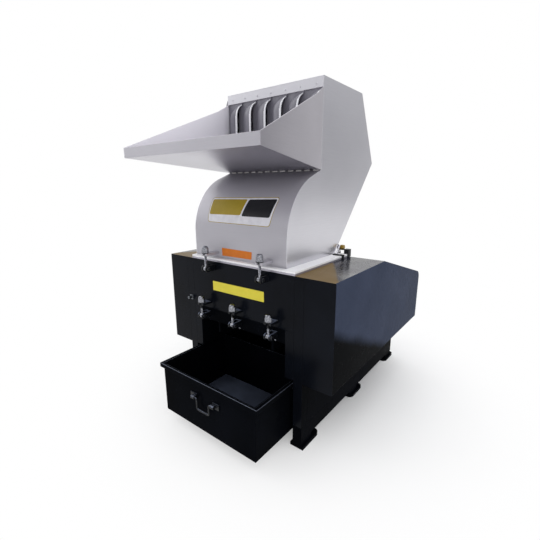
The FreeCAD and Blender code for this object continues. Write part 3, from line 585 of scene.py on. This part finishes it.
class OBJECT_OT_granulator_stage(GranulatorOperator, bpy.types.Operator):
    """Sets up the pale studio, its lamps and the camera"""

    bl_idname = "object.granulator_stage"
    bl_label = "Studio"

    def execute(self, context):
        self.floor()
        self.lamps(context)
        self.room(context)
        self.camera(context)
        context.scene.view_settings.view_transform = "Standard"
        return {"FINISHED"}

    def paper(self):
        """Pale paper: its real shade under the machine, pure white to eye and metal further off."""
        made, coords = start_material("studio_paper_pale")
        tree = made.node_tree
        tint = pattern(coords, 400, colours().studio, linear("f1f1f1"))
        paper = add(tree, "ShaderNodeBsdfDiffuse", {"Color": tint})
        shine = add(tree, "ShaderNodeEmission", {"Color": (1, 1, 1, 1), "Strength": 1.0})
        far = add(tree, "ShaderNodeVectorMath", {0: coords}, operation="LENGTH").outputs["Value"]
        factor = between(far, 0.0, 1.0, 0.2, 1.6, "SMOOTHSTEP")
        path = add(tree, "ShaderNodeLightPath").outputs
        seen = path["Is Camera Ray"]
        for ray in ("Is Glossy Ray", "Is Transmission Ray"):
            seen = add(tree, "ShaderNodeMath", {0: seen, 1: path[ray]}, operation="MAXIMUM").outputs[0]
        factor = add(tree, "ShaderNodeMath", {0: seen, 1: factor}, operation="MULTIPLY").outputs[0]
        mixed = add(tree, "ShaderNodeMixShader", {0: factor, 1: paper.outputs[0], 2: shine.outputs[0]})
        add(tree, "ShaderNodeOutputMaterial", {"Surface": mixed.outputs[0]})
        return made

    def floor(self):
        """Level paper under the machine, and two walls of it: behind the machine and on its left."""
        paper = self.paper()
        quarter = math.pi / 2
        for name, stretch, location, rotation in (
            ("studio_floor", (40, 40, 1), (0, 0, -0.0005), (0, 0, 0)),
            ("studio_wall_back", (13, 12, 1), (-3.5, 8, 6), (quarter, 0, 0)),
            ("studio_wall_left", (12, 12, 1), (-10, 2, 6), (0, quarter, 0)),
        ):
            sheet = made_by(bpy.ops.mesh.primitive_plane_add, name, stretch, size=1, location=location,
                            rotation=rotation)
            sheet.data.materials.append(paper)
            sheet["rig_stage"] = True

    def lamps(self, context):
        """A soft key from the left, weak fills from the right and from low in front, and a soft top light."""
        for name, place, target, power, size in (
            ("key_left", (-4.4, -2.8, 3.6), (0, 0, 0.9), 74, 4.5),
            ("fill_right", (4.6, 0.6, 3.6), (0, 0, 0.9), 55, 4.2),
            ("low_front", (2.2, -4.6, 0.8), (0, 0, 1.2), 52, 3.2),
            ("top_soft", (0.0, 0.4, 5.2), (0, 0, 0.6), 235, 9.0),
        ):
            data = bpy.data.lights.new(name, "AREA")
            data.shape = "SQUARE"
            data.size = size
            data.energy = power
            lamp = bpy.data.objects.new(name, data)
            context.scene.collection.objects.link(lamp)
            lamp.location = place
            lamp.rotation_euler = (Vector(target) - Vector(place)).to_track_quat("-Z", "Y").to_euler()

    def room(self, context):
        """The room: a grey horizon that pales towards the ceiling."""
        world = bpy.data.worlds.new("studio_room")
        context.scene.world = world
        world.use_nodes = True
        tree = world.node_tree
        tree.nodes.clear()
        height = add(tree, "ShaderNodeSeparateXYZ", {0: add(tree, "ShaderNodeTexCoord").outputs["Generated"]})
        rise = between(height.outputs["Z"], 0.34, 0.66, 0.05, 0.55, "SMOOTHSTEP")
        light = add(tree, "ShaderNodeBackground", {"Color": linear("f3f4f8"), "Strength": rise})
        add(tree, "ShaderNodeOutputWorld", {"Surface": light.outputs[0]})

    def camera(self, context):
        """Eye height 1.33 m, to the right of the machine, looking left and a little down."""
        eye = (1.2366, -2.0292, 1.3333)
        yaw, pitch, roll = math.radians(-38.107), math.radians(-13.651), math.radians(0.279)
        data = bpy.data.cameras.new("camera")
        data.sensor_fit = "HORIZONTAL"
        data.sensor_width = 36.0
        data.lens = 23.103
        forward = Vector((math.sin(yaw) * math.cos(pitch), math.cos(yaw) * math.cos(pitch), math.sin(pitch)))
        right = Vector((math.cos(yaw), -math.sin(yaw), 0))
        up = right.cross(forward)
        level = Matrix((right, up, -forward)).transposed()
        turned = level @ Matrix.Rotation(-roll, 3, "Z")
        camera = bpy.data.objects.new("camera", data)
        context.scene.collection.objects.link(camera)
        camera.matrix_world = Matrix.Translation(eye) @ turned.to_4x4()
        context.scene.camera = camera


class OBJECT_OT_granulator_body(GranulatorOperator, bpy.types.Operator):
    """Enamels the body: posts, walls, housings, deck, covers, base frame and feet"""

    bl_idname = "object.granulator_body"
    bl_label = "Painted body"

    front = ("left_front_post", "right_front_post", "left_chamber_cheek", "right_chamber_cheek", "front_plate")
    low = ("left_side_wall", "right_side_wall", "chamber_back_wall", "screen_cradle", "base_frame")

    def execute(self, context):
        edge = sizes().body_edge
        for node in self.front:
            # the sides of the front parts take the darker copy of the enamel: painted shade
            soften(node, edge, "enamel", "enamel_shaded", which=lambda face: abs(face.normal.x) > 0.5)
        for node in self.low:
            soften(node, edge, "enamel_shaded")
        for node in ("rear_cover", "rear_panel"):
            soften(node, edge, "housing")
        soften("deck_plate", edge, "deck", "enamel", which=lambda face: face.normal.y < -0.3)
        for node in ("right_drive_housing", "left_flywheel_housing"):
            soften(node, edge, "housing", "enamel", "deck", which=self.housing_look)
        for node in ("left_feet", "right_feet"):
            soften(node, sizes().sheet_edge, "enamel_shaded")
        return {"FINISHED"}

    def housing_look(self, face):
        """A housing's front is as dark as the body's, its level top takes the deck's enamel with its painted
        reflection, and the rest the painted blue-grey reflection.
        """
        if face.normal.y < -0.3:
            return 1
        return 2 if face.normal.z > 0.98 else 0


class OBJECT_OT_granulator_chamber(GranulatorOperator, bpy.types.Operator):
    """Finishes the rotor and the screen, which are seen from the bay"""

    bl_idname = "object.granulator_chamber"
    bl_label = "Rotor and screen"

    def execute(self, context):
        soften("rotor", sizes().small_edge, "chamber")
        soften("screen", 0, "screen")
        return {"FINISHED"}


class OBJECT_OT_granulator_hopper(GranulatorOperator, bpy.types.Operator):
    """Brushes the hopper's sheets, flanges, tray and wings"""

    bl_idname = "object.granulator_hopper"
    bl_label = "Hopper"

    def execute(self, context):
        edge = sizes().sheet_edge
        for node, look in (("hopper_left_side", "side_sheet"), ("hopper_right_side", "side_sheet"),
                           ("hopper_back", "back_sheet"), ("hopper_roof", "back_sheet"),
                           ("hopper_header", "header"), ("chamber_flange", "mill"), ("hopper_flange", "flange")):
            soften(node, edge, look)
        # the wings' inner faces take the lighter copy, their other faces the darker one: painted light and shade
        soften("tray_left_wing", edge, "wing_shaded_sheet", "wing_lit_sheet", which=lambda face: face.normal.x > 0.3)
        soften("tray_right_wing", edge, "wing_shaded_sheet", "wing_lit_sheet", which=lambda face: face.normal.x < -0.3)
        soften("hopper_front", 0, "front_sheet", flat=False)
        soften("feed_tray", edge, "front_sheet", "mill", which=lambda face: face.normal.z < -0.6)
        soften("hopper_lugs", sizes().small_edge, "front_sheet")
        return {"FINISHED"}


class OBJECT_OT_granulator_swing_bolts(GranulatorOperator, bpy.types.Operator):
    """Models a swing bolt with its eye, thread, washer and cap nut for each row, and copies it to the brackets"""

    bl_idname = "object.granulator_swing_bolts"
    bl_label = "Swing bolts"

    upper = ("upper_swing_bolt_left", "upper_swing_bolt_right")
    lower = ("cradle_swing_bolt_left", "cradle_swing_bolt_middle", "cradle_swing_bolt_right")
    pin_height = 15 * MM    # above the lowest point of the node
    nut_gap = 0.2 * MM      # between lug and washer
    shank_start = 0.8       # share of the eye's radius
    thread_root = 0.87      # share of the shank's radius
    dome_width = 0.87       # shares of the nut's radius
    dome_edge = 0.58

    def eye(self):
        s = sizes()
        eye = made_by(bpy.ops.mesh.primitive_cylinder_add, "swing_bolt", vertices=40, radius=s.eye_radius,
                      depth=s.eye_width, rotation=(0, math.pi / 2, 0))
        with picked(eye, "FACE", lambda face: abs(face.normal.x) > 0.9):
            bpy.ops.mesh.inset(thickness=s.eye_radius - s.bore_radius)
            bpy.ops.mesh.delete(type="FACE")
            bpy.ops.mesh.select_all(action="DESELECT")
            bpy.ops.mesh.select_mode(type="EDGE")
            bpy.ops.mesh.select_non_manifold()
            bpy.ops.mesh.bridge_edge_loops()
        round_edges(eye, s.eye_edge, 60, 3)
        return eye

    def shank(self, top):
        s = sizes()
        start = s.eye_radius * self.shank_start
        shank = made_by(bpy.ops.mesh.primitive_cylinder_add, "shank", vertices=24, radius=s.shank_radius,
                        depth=top - start, location=(0, 0, (top + start) / 2))
        cuts = round((top - start) / (s.thread_pitch / 2)) - 1
        with picked(shank, "EDGE", lambda edge: abs(edge_ends(shank, edge)[0].z - edge_ends(shank, edge)[1].z) > MM):
            bpy.ops.mesh.subdivide(number_cuts=cuts)
        step = (top - start) / (cuts + 1)
        thread = top - s.thread_length
        with picked(shank, "VERT", lambda v: v.co.z > thread and round((v.co.z - start) / step) % 2 == 1):
            bpy.ops.transform.resize(value=(self.thread_root, self.thread_root, 1), center_override=(0, 0, 0))
        return shank

    def cap_nut(self, bottom, top):
        s = sizes()
        washer_top = bottom + s.washer_height
        washer = made_by(bpy.ops.mesh.primitive_cylinder_add, "washer", vertices=40, radius=s.washer_radius,
                         depth=s.washer_height, location=(0, 0, bottom + s.washer_height / 2))
        round_edges(washer, s.washer_edge)
        nut = made_by(bpy.ops.mesh.primitive_cylinder_add, "nut", vertices=6, radius=s.nut_radius,
                      depth=s.nut_height, location=(0, 0, washer_top + s.nut_height / 2),
                      rotation=(0, 0, math.radians(30)))
        round_edges(nut, s.nut_edge, segments=3)
        dome_bottom = washer_top + s.nut_height - MM
        dome = made_by(bpy.ops.mesh.primitive_cylinder_add, "dome", vertices=32,
                       radius=s.nut_radius * self.dome_width, depth=top - dome_bottom,
                       location=(0, 0, (top + dome_bottom) / 2))
        with picked(dome, "EDGE", lambda edge: all(end.z > top - 0.1 * MM for end in edge_ends(dome, edge))):
            bpy.ops.mesh.bevel(offset=s.nut_radius * self.dome_edge, segments=7)
        return washer, nut, dome

    def execute(self, context):
        for nodes, lug, shaded_thread in ((self.upper, "hopper_lugs", 0),
                                  (self.lower, "front_plate_ears", sizes().thread_painted_shade)):
            low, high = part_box(nodes[0])
            pin = low.z + self.pin_height
            nut_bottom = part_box(lug)[1].z + self.nut_gap - pin
            parts = [self.eye(), self.shank(nut_bottom), *self.cap_nut(nut_bottom, high.z - pin)]
            only(*parts)
            bpy.ops.object.join()
            bolt = parts[0]
            smooth(bolt, 40)
            paint(bolt, "zinc", "black")
            washer_top = nut_bottom + sizes().washer_height
            # the washer and, on the lower bolts, the thread under it are painted black: painted shade under the nut
            # and lug
            divide(bolt, lambda face: nut_bottom - shaded_thread < face.center.z < washer_top)
            for node in nodes:
                low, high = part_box(node)
                place = ((low.x + high.x) / 2, (low.y + high.y) / 2, low.z + self.pin_height)
                copy_of(bolt, node + "_dressed", place, node, "zinc", node)
            bpy.data.objects.remove(bolt)
        return {"FINISHED"}


class OBJECT_OT_granulator_brackets(GranulatorOperator, bpy.types.Operator):
    """Paints the clevis brackets and ears, and plates their pins"""

    bl_idname = "object.granulator_brackets"
    bl_label = "Brackets and pins"

    def execute(self, context):
        s = sizes()
        soften("upper_bolt_brackets", s.small_edge, "black")
        for node in ("cradle_bolt_brackets", "front_plate_ears"):
            # the level tops of the brackets and ears take a lighter enamel: painted light
            soften(node, s.small_edge, "black", "ledge_painted_light", which=lambda face: face.normal.z > 0.5)
        for node in ("upper_bolt_pins", "cradle_bolt_pins"):
            soften(node, s.pin_edge, "zinc")
        return {"FINISHED"}


class OBJECT_OT_granulator_hinges(GranulatorOperator, bpy.types.Operator):
    """Finishes the rear hinges, the flange clip and the knob on the front post"""

    bl_idname = "object.granulator_hinges"
    bl_label = "Hinges, clip and knob"

    def execute(self, context):
        s = sizes()
        soften("hinge_blocks", s.forged_edge, "black")
        soften("hinge_arms", s.small_edge, "side_sheet")
        soften("hinge_pins", s.turned_edge, "yellow_zinc")
        soften("flange_clip", s.turned_edge, "black")
        soften("post_knob", s.turned_edge, "chamber")
        return {"FINISHED"}


class OBJECT_OT_granulator_curtain(GranulatorOperator, bpy.types.Operator):
    """Hangs the curtain strips, whose right edges curl out towards the tray"""

    bl_idname = "object.granulator_curtain"
    bl_label = "Curtain strips"

    count = 6
    columns = 36
    rows = 48
    edge = 0.1 * MM             # what counts as a strip's edge
    curl_from = 78 * MM         # below the header
    curl_reach = 70 * MM
    tuck_from = 10 * MM
    tuck_reach = 80 * MM
    tuck_back = 5 * MM
    highlight_widths = ((70, 4), (40, 3), (12, 2))  # how wide the painted highlight along the edge is in columns, from how far below the header

    def execute(self, context):
        low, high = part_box("curtain_strips")
        pitch = (high.x - low.x) / self.count
        strip = self.strip(low, high, pitch)
        for index in range(self.count):
            nodes = ("curtain_strips",) if index == 0 else ()
            copy_of(strip, f"curtain_strip_{index + 1}", (index * pitch, 0, 0), "machine", "curtain", *nodes)
        bpy.data.objects.remove(strip)
        return {"FINISHED"}

    def pull(self, strip, test, value, falloff, reach):
        """Draws the vertices that pass the test, and less what lies around them."""
        with picked(strip, "VERT", test):
            bpy.ops.transform.translate(value=value, use_proportional_edit=True,
                                        proportional_edit_falloff=falloff, proportional_size=reach)

    def strip(self, low, high, pitch):
        """Grid stood on edge; its right edge is pulled out, and its left edge lies behind its neighbour."""
        s = sizes()
        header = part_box("hopper_header")[0].z
        strip = made_by(bpy.ops.mesh.primitive_grid_add, "strip", (pitch, high.z - low.z, 1),
                        x_subdivisions=self.columns, y_subdivisions=self.rows, size=1, rotation=(math.pi / 2, 0, 0),
                        location=(low.x + pitch / 2, (low.y + high.y) / 2, (low.z + high.z) / 2))
        right = low.x + pitch - self.edge
        self.pull(strip, lambda v: v.co.x > right and v.co.z < header - self.curl_from,
                  (-s.strip_pull, -s.strip_bend, 0), "SPHERE", self.curl_reach)
        self.pull(strip, lambda v: v.co.x < low.x + self.edge and v.co.z < header - self.tuck_from,
                  (-s.strip_overlap, self.tuck_back, 0), "SMOOTH", self.tuck_reach)
        paint(strip, "curtain", "curtain_edge_highlight")
        divide(strip, lambda face: face.index % self.columns >= self.columns - self.highlight_width(header - face.center.z))
        modify(strip, "SOLIDIFY", thickness=high.y - low.y, offset=0)
        smooth(strip, 40)
        return strip

    def highlight_width(self, drop):
        """The painted highlight along the edge is a crescent: thin at its top, 12 mm wide further down."""
        return next((width for start, width in self.highlight_widths if drop / MM > start), 0)


class OBJECT_OT_granulator_screws(GranulatorOperator, bpy.types.Operator):
    """Puts the screws into the header, the screen cradle and the rear panel"""

    bl_idname = "object.granulator_screws"
    bl_label = "Screws"

    socket_wall = 0.55          # share of the head's radius
    socket_depth = 0.6          # shares of the head's height
    crown = 0.55
    header_count = 7
    header_inset = 38 * MM
    header_drop = 4 * MM
    cradle_places = (5 * MM, 250 * MM)
    cradle_height = 571 * MM
    rear_count = 4
    rear_inset = 22 * MM

    def screw(self, name, look, radius, height):
        """Button head with a driver socket, facing the front."""
        head = made_by(bpy.ops.mesh.primitive_cylinder_add, name, vertices=24, radius=radius, depth=height,
                       location=(0, -height / 2, 0), rotation=(math.pi / 2, 0, 0))
        with picked(head, "FACE", lambda face: face.normal.y < -0.9):
            bpy.ops.mesh.inset(thickness=radius * self.socket_wall)
            bpy.ops.mesh.extrude_region_move(TRANSFORM_OT_translate={"value": (0, height * self.socket_depth, 0)})
        with picked(head, "EDGE", lambda edge: all(end.y < 0.1 * MM - height and
                                                   math.hypot(end.x, end.z) > radius * 0.95
                                                   for end in edge_ends(head, edge))):
            bpy.ops.mesh.bevel(offset=height * self.crown, segments=3)
        smooth(head, 40)
        paint(head, look)
        return head

    def execute(self, context):
        s = sizes()
        low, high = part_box("hopper_header")
        model = self.screw("header_screw", "header", s.header_screw_radius, s.screw_height)
        first, last = low.x + self.header_inset, high.x - self.header_inset
        for index in range(self.header_count):
            x = first + index * (last - first) / (self.header_count - 1)
            place = (x, low.y, (low.z + high.z) / 2 - self.header_drop)
            copy_of(model, f"header_screw_{index + 1}", place, "machine", "stainless")
        bpy.data.objects.remove(model)
        model = self.screw("screw", "zinc", s.screw_radius, s.screw_height)
        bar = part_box("screen_cradle")[0].y
        for index, x in enumerate(self.cradle_places):
            copy_of(model, f"cradle_screw_{index + 1}", (x, bar, self.cradle_height), "machine", "zinc")
        # the same screw, turned to face the rear, holds the rear panel
        model.rotation_euler.z = math.pi
        at_origin(model)
        low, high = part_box("rear_panel")
        first, last = low.z + self.rear_inset, high.z - self.rear_inset
        for side, x in (("left", low.x + self.rear_inset), ("right", high.x - self.rear_inset)):
            for index in range(self.rear_count):
                z = first + index * (last - first) / (self.rear_count - 1)
                copy_of(model, f"rear_screw_{side}_{index + 1}", (x, high.y, z), "machine", "zinc")
        bpy.data.objects.remove(model)
        return {"FINISHED"}


class OBJECT_OT_granulator_drawer(GranulatorOperator, bpy.types.Operator):
    """Finishes the drawer, its runners and its hanging handle"""

    bl_idname = "object.granulator_drawer"
    bl_label = "Drawer"

    floor_reach = 20 * MM       # the lighter floor, a painted pool of light, lies within this of the tub's underside
    rubbed_highlight_reach = 3 * MM       # only edges this near to the rim's top are rubbed; their lighter colour also paints the rim's highlight

    def execute(self, context):
        s = sizes()
        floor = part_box("drawer_tub")[0].z + self.floor_reach
        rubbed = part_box("drawer_rim")[1].z - self.rubbed_highlight_reach
        soften("drawer_front", s.sheet_edge, "enamel_shaded")
        soften("drawer_tub", s.sheet_edge, "enamel_shaded", "bin_floor_painted_light",
               which=lambda face: face.normal.z > 0.9 and face.center.z < floor)
        soften("drawer_rim", s.rim_edge, "enamel_shaded", "worn_and_highlight",
               which=lambda face: face.material_index and face.center.z >= rubbed)
        soften("drawer_runners", s.sheet_edge, "black")
        # the tops of the mounts take the rubbed look, which paints their highlight
        soften("handle_mounts", s.mount_edge, "black", "worn_and_highlight", which=lambda face: face.normal.z > 0.3)
        self.bail()
        return {"FINISHED"}

    def bail(self):
        """Bent round rod: a path drawn out from one point, with rounded corners, given the rod's thickness."""
        s = sizes()
        low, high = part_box("handle_bail")
        y = (low.y + high.y) / 2
        top = high.z - s.rod_radius
        bottom = low.z + s.rod_radius
        corners = [Vector((x, y, z)) for x, z in ((-high.x, top), (-s.handle_leg, top), (-s.handle_leg, bottom),
                                                  (s.handle_leg, bottom), (s.handle_leg, top), (high.x, top))]
        bail = made_by(bpy.ops.mesh.primitive_plane_add, "handle_bail_dressed", size=1)
        with picked(bail, "VERT", lambda vertex: True):
            bpy.ops.mesh.merge(type="CENTER")
            bpy.ops.transform.translate(value=corners[0])
            for start, end in zip(corners, corners[1:]):
                bpy.ops.mesh.extrude_region_move(TRANSFORM_OT_translate={"value": end - start})
        with picked(bail, "VERT", lambda vertex: abs(vertex.co.x) < high.x - MM):
            bpy.ops.mesh.bevel(offset=s.rod_bend, segments=7, affect="VERTICES")
        bpy.ops.object.convert(target="CURVE")
        bail.data.bevel_depth = s.rod_radius
        bail.data.bevel_resolution = 6
        bail.data.use_fill_caps = True
        bpy.ops.object.convert(target="MESH")
        smooth(bail, 50)
        paint(bail, "black", "worn_and_highlight")
        # the tops of the bail take the rubbed look, which paints their highlight
        divide(bail, lambda face: face.normal.z > 0.6)
        settle(bail, "handle", "black_steel", "handle_bail")


class OBJECT_OT_granulator_plates(GranulatorOperator, bpy.types.Operator):
    """Lays the bare plates and the plain label on the front"""

    bl_idname = "object.granulator_plates"
    bl_label = "Plates and label"

    course = 7 * MM     # height of the courses into which a film is cut, so that it can follow the curve
    # name, look, slot, corners as (x, z) in mm (left low, left high, right low, right high), corner radius and
    # lift in mm, and the node it lies on
    films = (
        ("yellow_plate", "yellow", "body_paint", ((-195.5, 755), (-195.5, 809), (177.5, 757), (177.5, 812)),
         2, 0.8, "front_plate"),
        ("orange_strip", "orange", "stainless", ((-142, 957), (-144, 1001), (72, 960), (75, 1000)),
         3, 0.8, "hopper_front"),
        ("label_outline", "gold", "stainless", ((-255, 1138), (-265, 1271), (187, 1136), (207, 1279)),
         16, 0.4, "hopper_front"),
        ("label_ground", "label_white", "stainless", ((-252, 1141), (-262, 1268), (184, 1139), (204, 1276)),
         14, 0.8, "hopper_front"),
        ("label_left_field", "gold", "stainless", ((-250, 1181), (-252, 1261), (-18, 1184), (2, 1265)),
         9, 1.4, "hopper_front"),
        ("label_right_field", "label_black", "stainless", ((-8, 1180), (14, 1264), (178, 1180), (196, 1269)),
         9, 1.4, "hopper_front"),
    )

    def execute(self, context):
        for name, look, slot, corners, radius, lift, onto in self.films:
            places = [(x * MM, z * MM) for x, z in corners]
            film = self.film(name, places, radius * MM, lift * MM, frame["nodes"][onto])
            paint(film, look)
            settle(film, "machine", slot)
        return {"FINISHED"}

    def film(self, name, places, radius, lift, onto):
        """Film with rounded corners, cut into courses and pressed onto the surface behind it."""
        film = made_by(bpy.ops.mesh.primitive_plane_add, name, size=1, location=(0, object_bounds()[0].y, 0),
                       rotation=(math.pi / 2, 0, 0))
        corners = sorted(film.data.vertices, key=lambda vertex: (vertex.co.x > 0, vertex.co.z > 0))
        moves = [(corner.index, (x - corner.co.x, 0, z - corner.co.z)) for corner, (x, z) in zip(corners, places)]
        for number, move in moves:
            with picked(film, "VERT", lambda vertex: vertex.index == number):
                bpy.ops.transform.translate(value=move)
        heights = [z for x, z in places]
        with picked(film, "VERT", lambda vertex: True):
            bpy.ops.mesh.bevel(offset=radius, segments=5, affect="VERTICES")
            course = min(heights) + self.course
            while course < max(heights):
                bpy.ops.mesh.select_all(action="SELECT")
                bpy.ops.mesh.bisect(plane_co=(0, 0, course), plane_no=(0, 0, 1))
                course += self.course
        modify(film, "SHRINKWRAP", target=onto, wrap_method="PROJECT", use_project_y=True,
               use_positive_direction=True, use_negative_direction=False, offset=lift)
        modify(film, "SOLIDIFY", thickness=sizes().plate_thickness, offset=-1)
        smooth(film, 40)
        return film


class OBJECT_OT_granulator_welds(GranulatorOperator, bpy.types.Operator):
    """Lays the stitch weld along the fold under the tray"""

    bl_idname = "object.granulator_welds"
    bl_label = "Weld beads"

    bead_size = (3.4 * MM, 2.3 * MM, 2.3 * MM)  # half sizes of one ripple
    ripples = 9
    stitches = 12
    first_inset = 20 * MM
    last_inset = 40 * MM
    fold_offset = 5 * MM    # in front of the fold
    drop = 1 * MM           # below its top

    def execute(self, context):
        low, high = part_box("hopper_front")
        fold = min(vertex.co.y for vertex in frame["nodes"]["hopper_front"].data.vertices
                   if vertex.co.z > high.z - 0.5 * MM)
        bead = made_by(bpy.ops.mesh.primitive_uv_sphere_add, "bead", self.bead_size, segments=10, ring_count=6,
                       radius=1)
        modify(bead, "ARRAY", use_relative_offset=False, use_constant_offset=True,
               constant_offset_displace=(self.bead_size[0], 0, 0), count=self.ripples)
        smooth(bead, 60)
        paint(bead, "weld")
        first, last = low.x + self.first_inset, high.x - self.last_inset
        for index in range(self.stitches):
            x = first + index * (last - first) / (self.stitches - 1)
            copy_of(bead, f"tray_weld_{index + 1}", (x, fold - self.fold_offset, high.z - self.drop), "machine",
                    "stainless")
        bpy.data.objects.remove(bead)
        return {"FINISHED"}


class VIEW3D_PT_granulator(bpy.types.Panel):
    """Lists the granulator's steps and settings"""

    bl_label = "Granulator"
    bl_space_type = "VIEW_3D"
    bl_region_type = "UI"
    bl_category = "Granulator"

    def draw(self, context):
        for operator in operators:
            self.layout.operator(operator.bl_idname)
        for group in (sizes(), colours()):
            for name in group.bl_rna.properties.keys():
                if name not in {"rna_type", "name"}:
                    self.layout.prop(group, name)


operators = (
    OBJECT_OT_granulator_stage,
    OBJECT_OT_granulator_body,
    OBJECT_OT_granulator_chamber,
    OBJECT_OT_granulator_hopper,
    OBJECT_OT_granulator_swing_bolts,
    OBJECT_OT_granulator_brackets,
    OBJECT_OT_granulator_hinges,
    OBJECT_OT_granulator_curtain,
    OBJECT_OT_granulator_screws,
    OBJECT_OT_granulator_drawer,
    OBJECT_OT_granulator_plates,
    OBJECT_OT_granulator_welds,
)
classes = (GranulatorColours, GranulatorSizes) + operators + (VIEW3D_PT_granulator,)


def register():
    for item in classes:
        bpy.utils.register_class(item)
    bpy.types.Scene.granulator_colours = bpy.props.PointerProperty(type=GranulatorColours)
    bpy.types.Scene.granulator_sizes = bpy.props.PointerProperty(type=GranulatorSizes)


def unregister():
    del bpy.types.Scene.granulator_sizes
    del bpy.types.Scene.granulator_colours
    for item in reversed(classes):
        bpy.utils.unregister_class(item)


def main():
    register()
    looks.update(make_materials())
    for operator in operators:
        group, name = operator.bl_idname.split(".")
        getattr(getattr(bpy.ops, group), name)()


if __name__ == "__main__":
    main()
